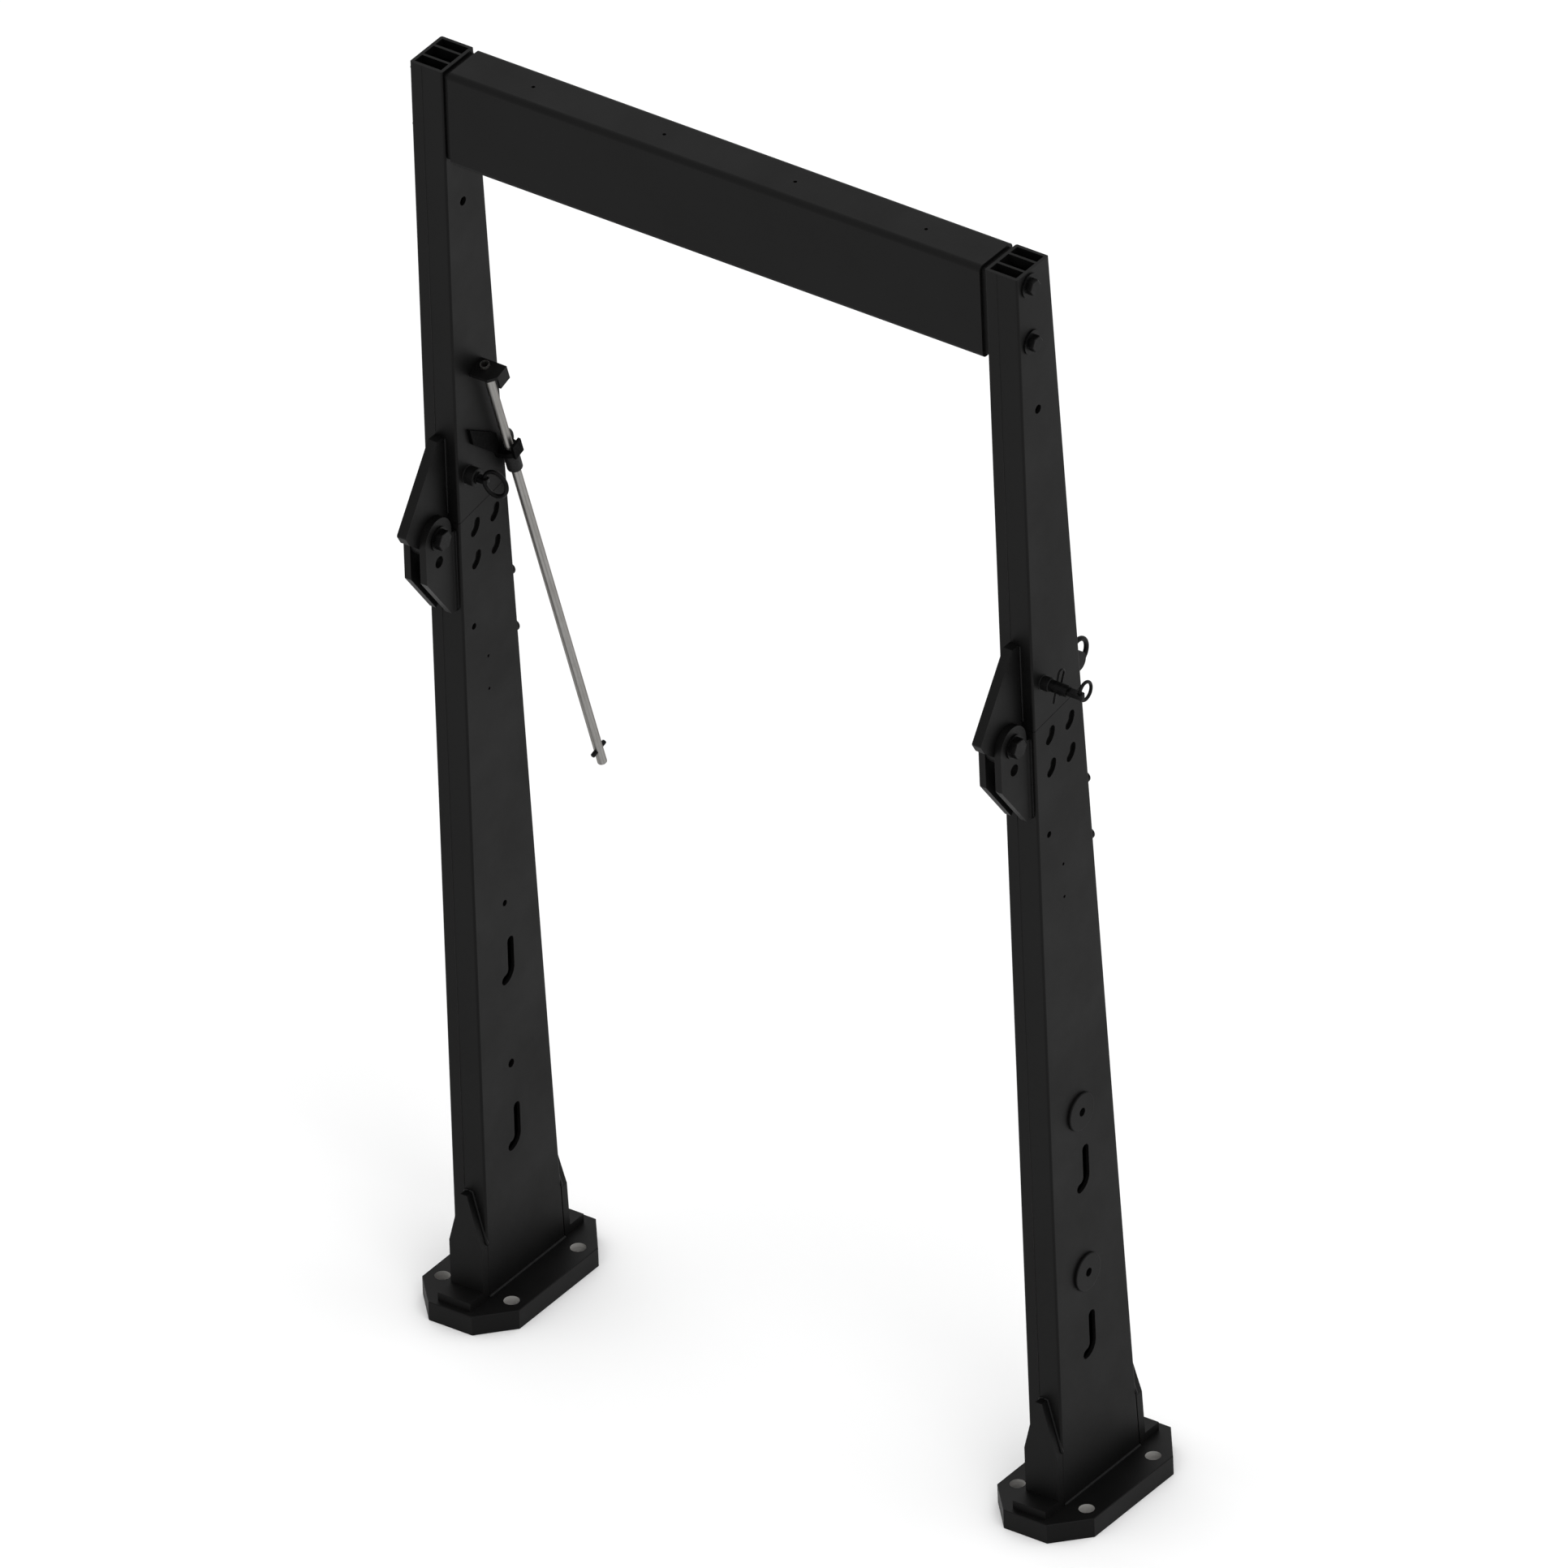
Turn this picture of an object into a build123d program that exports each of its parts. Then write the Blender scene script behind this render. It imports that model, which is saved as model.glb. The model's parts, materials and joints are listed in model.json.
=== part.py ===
from build123d import *
import os
from math import atan, cos, radians, sin, tan

# Folding ladder rack: two tapered box legs on octagonal base plates carry a crossbeam.
# Each leg is cut at mid height, and the upper frame folds forward on two hinges in front of the cut.
# Millimetres. +X runs along the crossbeam, +Y to the rear, +Z up.
# The origin is on the floor, midway between the centres of the two base plates.

# Legs
LEG_SPACING = 896.0
LEG_WIDTH = 50.8
LEG_WALL = 4.8
LEG_CORNER = 3.0
FRONT_Y = -82.0
REAR_Y_AT_FLOOR = 86.1
REAR_SLOPE = 0.052
LEG_TOP_Z = 1884.0
HALF_LEG = LEG_WIDTH / 2

# Base plates and feet
PLATE_THICKNESS = 27.5
PLATE_HALF_WIDTH = 75.6
PLATE_HALF_END = 33.75
PLATE_FRONT_Y = -132.5
PLATE_REAR_Y = 140.0
PLATE_SIDE_FRONT_Y = -87.0
PLATE_SIDE_REAR_Y = 86.0
BASE_HOLE_PITCH_X = 107.7
BASE_HOLE_PITCH_Y = 145.8
BASE_HOLE_R = 10.4
FOOT_THICKNESS = 12.0
FOOT_TOE_THICKNESS = 12.0
FOOT_TOE_LENGTH = 41.0
FOOT_SHOULDER_Z = 104.0
FOOT_TOP_Z = 180.0
FOOT_TOP_HALF_WIDTH = 5.0

# Cut between the lower and the upper leg
SPLIT_Z = 1198.6
SPLIT_TILT = 7.7
SPLIT_GAP = 0.8

# Hinge
PIVOT_Y = -117.0
PIVOT_Z = 1194.5
LUG_R = 28.0
LUG_THICKNESS = 10.0
LUG_OUTER = 17.4
LUG_CORNER_Z = 1138.0
LUG_BOTTOM_Z = 1068.0
LUG_LOCK_DROP = 36.0
PAD_WIDTH = 38.0
PIVOT_BOLT_R = 7.94
RUNNING_CLEARANCE = 0.06
GUSSET_THICKNESS = 14.0
GUSSET_TOP_Z = 1326.0
GUSSET_TOP_Y = -98.0
GUSSET_NOSE_Y = -173.0
GUSSET_NOSE_Z = 1220.0
GUSSET_HEEL_Y = -165.0
GUSSET_HEEL_Z = 1206.0
GUSSET_EYE_R = 27.4

# Tongues that stand up out of the lower legs into the upper ones
TONGUE_THICKNESS = 5.3
TONGUE_SIDE_GAP = 0.5
TONGUE_FRONT_Y = -69.5
TONGUE_BOTTOM_Z = 1100.0
TONGUE_TOP_Z = 1289.0
TONGUE_TOP_REAR_Y = -38.0
TONGUE_SHOULDER_Y = 4.0
TONGUE_SHOULDER_Z = 1226.0
TONGUE_PAD_TOP_Z = 1190.0

# Lock pins
PIN_Y = -59.0
PIN_Z = 1262.6
PIN_R = 7.94
PIN_NOSE = 20.5
PIN_BARREL_END = {"left": 42.8, "right": 65.4}
PIN_RING_HOLE = {"left": 50.3, "right": 82.0}
PIN_TAB_MARGIN = 6.0
PIN_TAB_WIDTH = 11.0
PIN_TAB_THICKNESS = 6.0
SLEEVE_LENGTH = {"left": 15.0, "right": 13.0}
SLEEVE_R = {"left": 12.5, "right": 9.7}
RING_R = {"left": 17.5, "right": 12.5}
RING_WIRE_R = {"left": 2.9, "right": 2.3}
RING_SWING = {"left": 0.0, "right": 90.0}
CLIP_WIRE_R = 1.5
CLIP_OFFSET_X = 46.0
CLIP_LEAN = 19.0
CLIP_LEG_GAP = 12.0
CLIP_LEG_LENGTH = 22.0
CLIP_RISE = 17.0

# Crossbeam
BEAM_FRONT_Y = -82.0
BEAM_DEPTH = 72.6
BEAM_TOP_Z = 1884.0
BEAM_HEIGHT = 138.9
BEAM_WALL = 4.8
BEAM_CORNER = 8.0
BEAM_HOLE_PITCH = 204.0
BEAM_HOLE_R = 2.5
BEAM_END_GAP = 8.0
PLUG_THICKNESS = 16.0
BEAM_BOLT_R = 6.35
BEAM_BOLT_Y = -56.5
BEAM_BOLT_Z = (1778.0, 1863.5)
BEAM_WASHER_R = 17.0
HEX_HEAD_HEIGHT = 8.0
WASHER_THICKNESS = 2.5

# Ribs across the open top of each leg
RIB_THICKNESS = 4.0
RIB_Y = (-59.0, -34.0)
RIB_LENGTH = 13.5

# Stowed rod beside the left upper leg
ROD_X = -410.0
ROD_TOP_Y = -32.1
ROD_TOP_Z = 1419.9
ROD_LENGTH = 754.6
ROD_LEAN = 16.74
ROD_R = 6.35
ROD_WALL = 1.2
COLLAR_R = 10.4
COLLAR_START = 168.0
COLLAR_LENGTH = 28.0
CROSS_PIN_R = 3.2
CROSS_PIN_LENGTH = 28.0
CROSS_PIN_SETBACK = 24.0
BRACKET_THICKNESS = 5.0
GUIDE_DROP = 158.0
GUIDE_THICKNESS = 8.0
GUIDE_ARM = ((-59.0, 1331.0), (-52.0, 1305.0), (0.0, 1262.0), (6.0, 1268.0), (-3.0, 1297.0))
GUIDE_ARM_THICKNESS = 5.0

# Slots and holes in the lower legs' +X walls
WELD_SLOT_WIDTH = 12.0
KEY_SLOT_WIDTH = 13.5
WELD_SLOT_Y = (-44.2, -1.5)
WELD_SLOT_Z = (1183.2, 1134.2)
WELD_SLOT_RUN = 0.5
WELD_SLOT_HOOK_R = 13.4
WELD_SLOT_TURN = 66.0
KEY_SLOT_Y = -7.8
KEY_SLOT_Z = (527.2, 276.3)
KEY_SLOT_RUN = 38.2
KEY_SLOT_HOOK_R = 14.5
KEY_SLOT_TURN = 88.0
SIDE_HOLES = (
    (-59.0, 1032.0, 4.5),
    (-31.0, 972.0, 2.2),
    (-31.5, 923.0, 2.2),
    (-16.5, 589.0, 4.5),
    (-15.8, 346.0, 6.0),
)
BOSS_CENTRES = ((-16.5, 589.0), (-15.8, 346.0))
BOSS_R = 26.5
BOSS_HOLE_R = 6.0
BOSS_HEIGHT = 4.0
STUD_Z = (1065.5, 977.5)
STUD_OFFSET_X = 17.0
STUD_R = 7.5
STUD_LENGTH = 6.0

# Upper legs
CROSS_HOLE_Y = -47.7
CROSS_HOLE_Z = 1671.0
CROSS_HOLE_R = 6.3
EYE_Y = 29.5
EYE_Z = 1258.3
EYE_OFFSET_X = 17.0
EYE_R = 17.3
EYE_WIRE_R = 3.45
EYE_LUG_R = 13.5
EYE_LUG_Y = 27.0
EYE_LUG_Z = 1245.0

SIDES = {"left": -1, "right": 1}


def leg_x(side):
    """The X of a leg's middle plane."""
    return SIDES[side] * LEG_SPACING / 2


def save(part, name):
    """Label a finished piece and write it as one STEP file."""
    part.label = name
    export_step(part, f"parts/{name}.step")


def rear_y(z):
    """The leg's rear face leans forward as it rises."""
    return REAR_Y_AT_FLOOR - REAR_SLOPE * z


def cut_corner(lift):
    """Where the leg's rear face meets the cut between the two halves, lifted by a distance."""
    rise = tan(radians(SPLIT_TILT))
    y = (REAR_Y_AT_FLOOR - REAR_SLOPE * (SPLIT_Z + lift - rise * FRONT_Y)) / (1 + REAR_SLOPE * rise)
    return y, SPLIT_Z + lift + rise * (y - FRONT_Y)


def side_plane(x):
    """A sketch plane across X, whose own axes are Y and Z."""
    return Plane.YZ.offset(x)


def leg_hollow(corners):
    """The side outline of the space inside a leg, running out through both of its ends."""
    front = FRONT_Y + LEG_WALL
    low = corners[0][1] - LEG_WIDTH
    high = corners[2][1] + LEG_WIDTH
    return [(front, low), (rear_y(low) - LEG_WALL, low), (rear_y(high) - LEG_WALL, high), (front, high)]


def leg_shell(x, corners):
    """A box tube with the given side outline, rounded along its length and open at both ends."""
    with BuildPart() as shell:
        with BuildSketch(side_plane(x - HALF_LEG)):
            with BuildLine():
                Polyline(*corners, close=True)
            make_face()
        extrude(amount=LEG_WIDTH)
        long_edges = shell.edges().filter_by(lambda edge: edge.length > 4 * LEG_WIDTH)
        fillet(long_edges, LEG_CORNER)
        with BuildSketch(side_plane(x - HALF_LEG + LEG_WALL)):
            with BuildLine():
                Polyline(*leg_hollow(corners), close=True)
            make_face()
        extrude(amount=LEG_WIDTH - 2 * LEG_WALL, mode=Mode.SUBTRACT)
    return shell.part


def hex_bolt(plane, shank_r, length, head_height=HEX_HEAD_HEIGHT):
    """A hexagon bolt whose head stands on the plane and whose shank runs the other way."""
    with BuildPart() as bolt:
        with BuildSketch(plane):
            RegularPolygon(radius=1.75 * shank_r, side_count=6)
        extrude(amount=head_height)
        chamfer(bolt.faces().sort_by(plane_axis(plane))[-1].edges(), 0.8)
        with BuildSketch(plane):
            Circle(shank_r)
        extrude(amount=-length)
    return bolt.part


def hex_nut(plane, bore_r, height):
    """A hexagon nut standing on the plane."""
    with BuildPart() as nut:
        with BuildSketch(plane):
            RegularPolygon(radius=1.75 * bore_r, side_count=6)
            Circle(bore_r, mode=Mode.SUBTRACT)
        extrude(amount=height)
    return nut.part


def washer(plane, bore_r, outer_r):
    """A flat washer standing on the plane."""
    with BuildPart() as ring:
        with BuildSketch(plane):
            Circle(outer_r)
            Circle(bore_r, mode=Mode.SUBTRACT)
        extrude(amount=WASHER_THICKNESS)
    return ring.part


def plane_axis(plane):
    """The axis along a plane's normal."""
    return Axis(plane.origin, plane.z_dir)


def facing(x, y, z, sign):
    """A plane at a point whose normal is +X or -X."""
    return Plane(origin=(x, y, z), x_dir=(0, 1, 0), z_dir=(sign, 0, 0))


def leg_core(x, z):
    """The space in front of the leg's rear face around a height, which trims what stands on that face."""
    reach = 2 * LEG_WIDTH
    with BuildPart(mode=Mode.PRIVATE) as core:
        with BuildSketch(side_plane(x - LEG_WIDTH)):
            with BuildLine():
                Polyline(
                    (rear_y(z - reach), z - reach),
                    (rear_y(z + reach), z + reach),
                    (rear_y(z + reach) - reach, z + reach),
                    (rear_y(z - reach) - reach, z - reach),
                    close=True,
                )
            make_face()
        extrude(amount=2 * LEG_WIDTH)
    return core.part


# ---------------------------------------------------------------- base plates and feet

def base_plate(x):
    """An octagonal plate with four holes for anchor bolts."""
    with BuildPart() as plate:
        with BuildSketch():
            with BuildLine():
                Polyline(
                    (x - PLATE_HALF_END, PLATE_FRONT_Y),
                    (x + PLATE_HALF_END, PLATE_FRONT_Y),
                    (x + PLATE_HALF_WIDTH, PLATE_SIDE_FRONT_Y),
                    (x + PLATE_HALF_WIDTH, PLATE_SIDE_REAR_Y),
                    (x + PLATE_HALF_END, PLATE_REAR_Y),
                    (x - PLATE_HALF_END, PLATE_REAR_Y),
                    (x - PLATE_HALF_WIDTH, PLATE_SIDE_REAR_Y),
                    (x - PLATE_HALF_WIDTH, PLATE_SIDE_FRONT_Y),
                    close=True,
                )
            make_face()
            with Locations((x, 0)):
                with GridLocations(BASE_HOLE_PITCH_X, BASE_HOLE_PITCH_Y, 2, 2):
                    Circle(BASE_HOLE_R, mode=Mode.SUBTRACT)
        extrude(amount=PLATE_THICKNESS)
        chamfer(plate.faces().sort_by(Axis.Z)[-1].outer_wire().edges(), 1.0)
    return plate.part


def foot(x, face_y, direction):
    """An angle foot: a pointed upright against the leg's face and a toe lying on the base plate."""
    lean = 0.0 if direction < 0 else atan(REAR_SLOPE)
    upright = Plane(
        origin=(x, face_y, PLATE_THICKNESS),
        x_dir=(1, 0, 0),
        z_dir=(0, -1, 0) if direction < 0 else (0, cos(lean), REAR_SLOPE * cos(lean)),
    )
    grow = 1 if upright.y_dir.Z > 0 else -1
    shoulder = grow * (FOOT_SHOULDER_Z - PLATE_THICKNESS)
    top = grow * (FOOT_TOP_Z - PLATE_THICKNESS)
    with BuildPart() as piece:
        with BuildSketch(upright):
            with BuildLine():
                Polyline(
                    (-HALF_LEG, 0),
                    (HALF_LEG, 0),
                    (HALF_LEG, shoulder),
                    (FOOT_TOP_HALF_WIDTH, top),
                    (-FOOT_TOP_HALF_WIDTH, top),
                    (-HALF_LEG, shoulder),
                    close=True,
                )
            make_face()
        extrude(amount=FOOT_THICKNESS)
        with Locations((x, face_y + direction * (FOOT_TOE_LENGTH / 2 + 1), PLATE_THICKNESS)):
            Box(LEG_WIDTH, FOOT_TOE_LENGTH - 2, FOOT_TOE_THICKNESS,
                align=(Align.CENTER, Align.CENTER, Align.MIN))
        with BuildSketch(Plane.XY):
            with Locations((x, face_y + direction * FOOT_TOE_LENGTH)):
                Rectangle(LEG_WIDTH + 2, 8 * FOOT_TOE_LENGTH)
        extrude(amount=PLATE_THICKNESS, mode=Mode.SUBTRACT)
    return piece.part


# ---------------------------------------------------------------- lower legs

def j_slot(y, z, run, hook_r, turn, width):
    """The face of a J-shaped slot: straight down from a point, then curling towards the front."""
    with BuildLine() as path:
        straight = Line((y, z), (y, z - run))
        JernArc(straight @ 1, straight % 1, hook_r, -turn)
    SlotArc(path.wires()[0], width)


def lower_leg(x):
    """The lower half of a leg, with its slots and holes in the wall on the +X side."""
    rear_top = cut_corner(0)
    corners = [
        (FRONT_Y, PLATE_THICKNESS),
        (rear_y(PLATE_THICKNESS), PLATE_THICKNESS),
        rear_top,
        (FRONT_Y, SPLIT_Z),
    ]
    with BuildPart() as leg:
        add(leg_shell(x, corners))
        with BuildSketch(side_plane(x)):
            for y in WELD_SLOT_Y:
                for z in WELD_SLOT_Z:
                    j_slot(y, z, WELD_SLOT_RUN, WELD_SLOT_HOOK_R, WELD_SLOT_TURN, WELD_SLOT_WIDTH)
            for z in KEY_SLOT_Z:
                j_slot(KEY_SLOT_Y, z, KEY_SLOT_RUN, KEY_SLOT_HOOK_R, KEY_SLOT_TURN, KEY_SLOT_WIDTH)
            for y, z, r in SIDE_HOLES:
                with Locations((y, z)):
                    Circle(r)
        extrude(amount=LEG_WIDTH, mode=Mode.SUBTRACT)
    return leg.part


def tongue(x):
    """A plate plug-welded inside the lower leg that stands up into the upper one."""
    wall = x + HALF_LEG - LEG_WALL
    with BuildPart() as plate:
        with BuildSketch(side_plane(wall - TONGUE_SIDE_GAP - TONGUE_THICKNESS)):
            with BuildLine():
                Polyline(
                    (TONGUE_FRONT_Y, TONGUE_BOTTOM_Z),
                    (TONGUE_SHOULDER_Y, TONGUE_BOTTOM_Z),
                    (TONGUE_SHOULDER_Y, TONGUE_SHOULDER_Z),
                    (TONGUE_TOP_REAR_Y, TONGUE_TOP_Z),
                    (TONGUE_FRONT_Y, TONGUE_TOP_Z),
                    close=True,
                )
            make_face()
            with Locations((PIN_Y, PIN_Z)):
                Circle(PIN_R + 0.3, mode=Mode.SUBTRACT)
        extrude(amount=TONGUE_THICKNESS)
        with BuildSketch(side_plane(wall - TONGUE_SIDE_GAP)):
            with BuildLine():
                Polyline(
                    (TONGUE_FRONT_Y, TONGUE_BOTTOM_Z),
                    (TONGUE_SHOULDER_Y, TONGUE_BOTTOM_Z),
                    (TONGUE_SHOULDER_Y, TONGUE_PAD_TOP_Z),
                    (TONGUE_FRONT_Y, TONGUE_PAD_TOP_Z),
                    close=True,
                )
            make_face()
        extrude(amount=TONGUE_SIDE_GAP)
    return plate.part


def hinge_lug(x):
    """One lug: a round-topped plate with the pivot bore and a lower lock hole."""
    with BuildPart() as lug:
        with BuildSketch(side_plane(x)):
            with BuildLine():
                Polyline(
                    (PIVOT_Y + LUG_R, PIVOT_Z),
                    (PIVOT_Y + LUG_R, LUG_BOTTOM_Z + 5),
                    (PIVOT_Y + LUG_R - 5, LUG_BOTTOM_Z),
                    (PIVOT_Y - LUG_R, LUG_CORNER_Z),
                    (PIVOT_Y - LUG_R, PIVOT_Z),
                )
                ThreePointArc(
                    (PIVOT_Y - LUG_R, PIVOT_Z), (PIVOT_Y, PIVOT_Z + LUG_R), (PIVOT_Y + LUG_R, PIVOT_Z)
                )
            make_face()
            with Locations((PIVOT_Y, PIVOT_Z)):
                Circle(PIVOT_BOLT_R, mode=Mode.SUBTRACT)
            with Locations((PIVOT_Y, PIVOT_Z - LUG_LOCK_DROP)):
                Circle(PIN_R + 0.3, mode=Mode.SUBTRACT)
        extrude(amount=LUG_THICKNESS)
    return lug.part


def hinge_lugs(x):
    """The two lugs of a lower leg, one on each side of the gusset."""
    return Compound(children=[hinge_lug(x - LUG_OUTER), hinge_lug(x + LUG_OUTER - LUG_THICKNESS)])


def hinge_pad(x):
    """The pad between a lower leg's front face and its lugs."""
    depth = FRONT_Y - (PIVOT_Y + LUG_R)
    with BuildPart() as pad:
        with Locations((x, FRONT_Y - depth / 2, LUG_BOTTOM_Z)):
            Box(PAD_WIDTH, depth, PIVOT_Z - LUG_BOTTOM_Z - 6, align=(Align.CENTER, Align.CENTER, Align.MIN))
        chamfer(pad.edges().filter_by(Axis.Z).group_by(Axis.Y)[0], 1.5)
    return pad.part


def side_bosses(side):
    """Two round bosses on the outer face of a lower leg."""
    sign = SIDES[side]
    face = leg_x(side) + sign * HALF_LEG
    bosses = []
    for y, z in BOSS_CENTRES:
        with BuildPart() as boss:
            with BuildSketch(facing(face, y, z, sign)):
                Circle(BOSS_R)
                Circle(BOSS_HOLE_R, mode=Mode.SUBTRACT)
            extrude(amount=BOSS_HEIGHT)
            fillet(boss.faces().sort_by(Axis.X)[-1 if sign > 0 else 0].outer_wire().edges(), 1.5)
        bosses.append(boss.part)
    return Compound(children=bosses)


def rope_studs(x):
    """Two domed studs on the rear face of a lower leg."""
    studs = []
    for z in STUD_Z:
        with BuildPart() as stud:
            with BuildSketch(Plane(origin=(x + STUD_OFFSET_X, rear_y(z), z), x_dir=(1, 0, 0), z_dir=(0, 1, 0))):
                Circle(STUD_R)
            extrude(amount=STUD_LENGTH, both=True)
            fillet(stud.faces().sort_by(Axis.Y)[-1].edges(), 2.5)
            add(leg_core(x, z), mode=Mode.SUBTRACT)
        studs.append(stud.part)
    return Compound(children=studs)


# ---------------------------------------------------------------- upper legs

def upper_leg(x):
    """The upper half of a leg, drilled for the beam bolts, the lock pin and a cross bolt."""
    corners = [
        (FRONT_Y, SPLIT_Z + SPLIT_GAP),
        cut_corner(SPLIT_GAP),
        (rear_y(LEG_TOP_Z), LEG_TOP_Z),
        (FRONT_Y, LEG_TOP_Z),
    ]
    with BuildPart() as leg:
        add(leg_shell(x, corners))
        with BuildSketch(side_plane(x)):
            with Locations((PIN_Y, PIN_Z)):
                Circle(PIN_R + RUNNING_CLEARANCE)
        extrude(amount=LEG_WIDTH, mode=Mode.SUBTRACT)
        with BuildSketch(side_plane(x - LEG_WIDTH)):
            for z in BEAM_BOLT_Z:
                with Locations((BEAM_BOLT_Y, z)):
                    Circle(BEAM_BOLT_R)
            with Locations((CROSS_HOLE_Y, CROSS_HOLE_Z)):
                Circle(CROSS_HOLE_R)
        extrude(amount=2 * LEG_WIDTH, mode=Mode.SUBTRACT)
    return leg.part


def top_ribs(x):
    """Two cross ribs inside the open top of an upper leg, above the beam bolts."""
    width = LEG_WIDTH - 2 * LEG_WALL
    ribs = []
    for y in RIB_Y:
        with BuildPart() as rib:
            with Locations((x, y, LEG_TOP_Z)):
                Box(width, RIB_THICKNESS, RIB_LENGTH, align=(Align.CENTER, Align.CENTER, Align.MAX))
        ribs.append(rib.part)
    return Compound(children=ribs)


def hinge_gusset(x):
    """The plate on an upper leg's front face whose eye turns on the pivot bolt between the lugs."""
    with BuildPart() as gusset:
        with BuildSketch(side_plane(x - GUSSET_THICKNESS / 2)):
            with BuildLine():
                Polyline(
                    (FRONT_Y, GUSSET_TOP_Z),
                    (GUSSET_TOP_Y, GUSSET_TOP_Z),
                    (GUSSET_NOSE_Y, GUSSET_NOSE_Z),
                    (GUSSET_HEEL_Y, GUSSET_HEEL_Z),
                    (PIVOT_Y, PIVOT_Z - GUSSET_EYE_R),
                    (PIVOT_Y, PIVOT_Z),
                    (FRONT_Y, SPLIT_Z + SPLIT_GAP + 6),
                    close=True,
                )
            make_face()
            with Locations((PIVOT_Y, PIVOT_Z)):
                Circle(GUSSET_EYE_R)
                Circle(PIVOT_BOLT_R + RUNNING_CLEARANCE, mode=Mode.SUBTRACT)
        extrude(amount=GUSSET_THICKNESS)
        nose = gusset.edges().filter_by(Axis.X).sort_by(Axis.Y)[:4]
        fillet(nose, 4)
    return gusset.part


def guide_sleeve(side):
    """The short tube on an upper leg's +X face that carries the lock pin."""
    with BuildPart() as sleeve:
        with BuildSketch(facing(leg_x(side) + HALF_LEG, PIN_Y, PIN_Z, 1)):
            Circle(SLEEVE_R[side])
            Circle(PIN_R + RUNNING_CLEARANCE, mode=Mode.SUBTRACT)
        extrude(amount=SLEEVE_LENGTH[side])
        chamfer(sleeve.faces().sort_by(Axis.X)[-1].outer_wire().edges(), 1.0)
    return sleeve.part


def rear_eye(x):
    """A bent-rod eye standing in a round lug on the rear face of an upper leg, for a rope or a strap."""
    with BuildPart() as eye:
        with Locations(facing(x + EYE_OFFSET_X, EYE_Y, EYE_Z, 1)):
            Torus(EYE_R, EYE_WIRE_R)
        with BuildSketch(side_plane(x + EYE_OFFSET_X - EYE_WIRE_R)):
            with Locations((EYE_LUG_Y, EYE_LUG_Z)):
                Circle(EYE_LUG_R)
        extrude(amount=2 * EYE_WIRE_R)
        add(leg_core(x, EYE_Z), mode=Mode.SUBTRACT)
    return eye.part


# ---------------------------------------------------------------- crossbeam

def crossbeam():
    """A rectangular tube between the two upper legs, with four holes through its top wall."""
    length = LEG_SPACING - LEG_WIDTH - 2 * BEAM_END_GAP
    centre_y = BEAM_FRONT_Y + BEAM_DEPTH / 2
    centre_z = BEAM_TOP_Z - BEAM_HEIGHT / 2
    with BuildPart() as beam:
        with BuildSketch(side_plane(-length / 2)):
            with Locations((centre_y, centre_z)):
                RectangleRounded(BEAM_DEPTH, BEAM_HEIGHT, BEAM_CORNER)
                RectangleRounded(
                    BEAM_DEPTH - 2 * BEAM_WALL,
                    BEAM_HEIGHT - 2 * BEAM_WALL,
                    BEAM_CORNER - BEAM_WALL,
                    mode=Mode.SUBTRACT,
                )
        extrude(amount=length)
        with BuildSketch(Plane.XY.offset(BEAM_TOP_Z)):
            with Locations((0, centre_y)):
                with GridLocations(BEAM_HOLE_PITCH, 0, 4, 1):
                    Circle(BEAM_HOLE_R)
        extrude(amount=-2 * BEAM_WALL, mode=Mode.SUBTRACT)
    return beam.part


def end_plug(side):
    """The block that fills a beam end, stands out of it to the leg and is bolted there."""
    sign = SIDES[side]
    inner = leg_x(side) - sign * (HALF_LEG + PLUG_THICKNESS)
    centre_y = BEAM_FRONT_Y + BEAM_DEPTH / 2
    centre_z = BEAM_TOP_Z - BEAM_HEIGHT / 2
    with BuildPart() as plug:
        with BuildSketch(side_plane(inner)):
            with Locations((centre_y, centre_z)):
                RectangleRounded(
                    BEAM_DEPTH - 2 * BEAM_WALL, BEAM_HEIGHT - 2 * BEAM_WALL, BEAM_CORNER - BEAM_WALL
                )
            for z in BEAM_BOLT_Z:
                with Locations((BEAM_BOLT_Y, z)):
                    Circle(BEAM_BOLT_R, mode=Mode.SUBTRACT)
        extrude(amount=sign * PLUG_THICKNESS)
    return plug.part


def beam_bolts(side):
    """Hexagon bolts from the leg's outer face through the leg and the end plug into the beam."""
    sign = SIDES[side]
    head_x = leg_x(side) + sign * (HALF_LEG + WASHER_THICKNESS)
    grip = LEG_WIDTH + WASHER_THICKNESS + PLUG_THICKNESS + 14
    return Compound(children=[
        hex_bolt(facing(head_x, BEAM_BOLT_Y, z, sign), BEAM_BOLT_R, grip) for z in BEAM_BOLT_Z
    ])


def beam_washers(side):
    """Washers under the beam bolts' heads."""
    sign = SIDES[side]
    face = leg_x(side) + sign * HALF_LEG
    return Compound(children=[
        washer(facing(face, BEAM_BOLT_Y, z, sign), BEAM_BOLT_R, BEAM_WASHER_R) for z in BEAM_BOLT_Z
    ])


def beam_nuts(side):
    """Nuts on the beam bolts, against the end plug inside the beam."""
    sign = SIDES[side]
    face = leg_x(side) - sign * (HALF_LEG + PLUG_THICKNESS)
    return Compound(children=[
        hex_nut(facing(face, BEAM_BOLT_Y, z, -sign), BEAM_BOLT_R, 10) for z in BEAM_BOLT_Z
    ])


# ---------------------------------------------------------------- hinge fasteners

def pivot_bolt(x):
    """The bolt that the upper leg's gusset turns on, with its head on the +X side."""
    head_x = x + LUG_OUTER + WASHER_THICKNESS
    grip = 2 * LUG_OUTER + 2 * WASHER_THICKNESS + 15
    return hex_bolt(facing(head_x, PIVOT_Y, PIVOT_Z, 1), PIVOT_BOLT_R, grip, 9.0)


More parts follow.
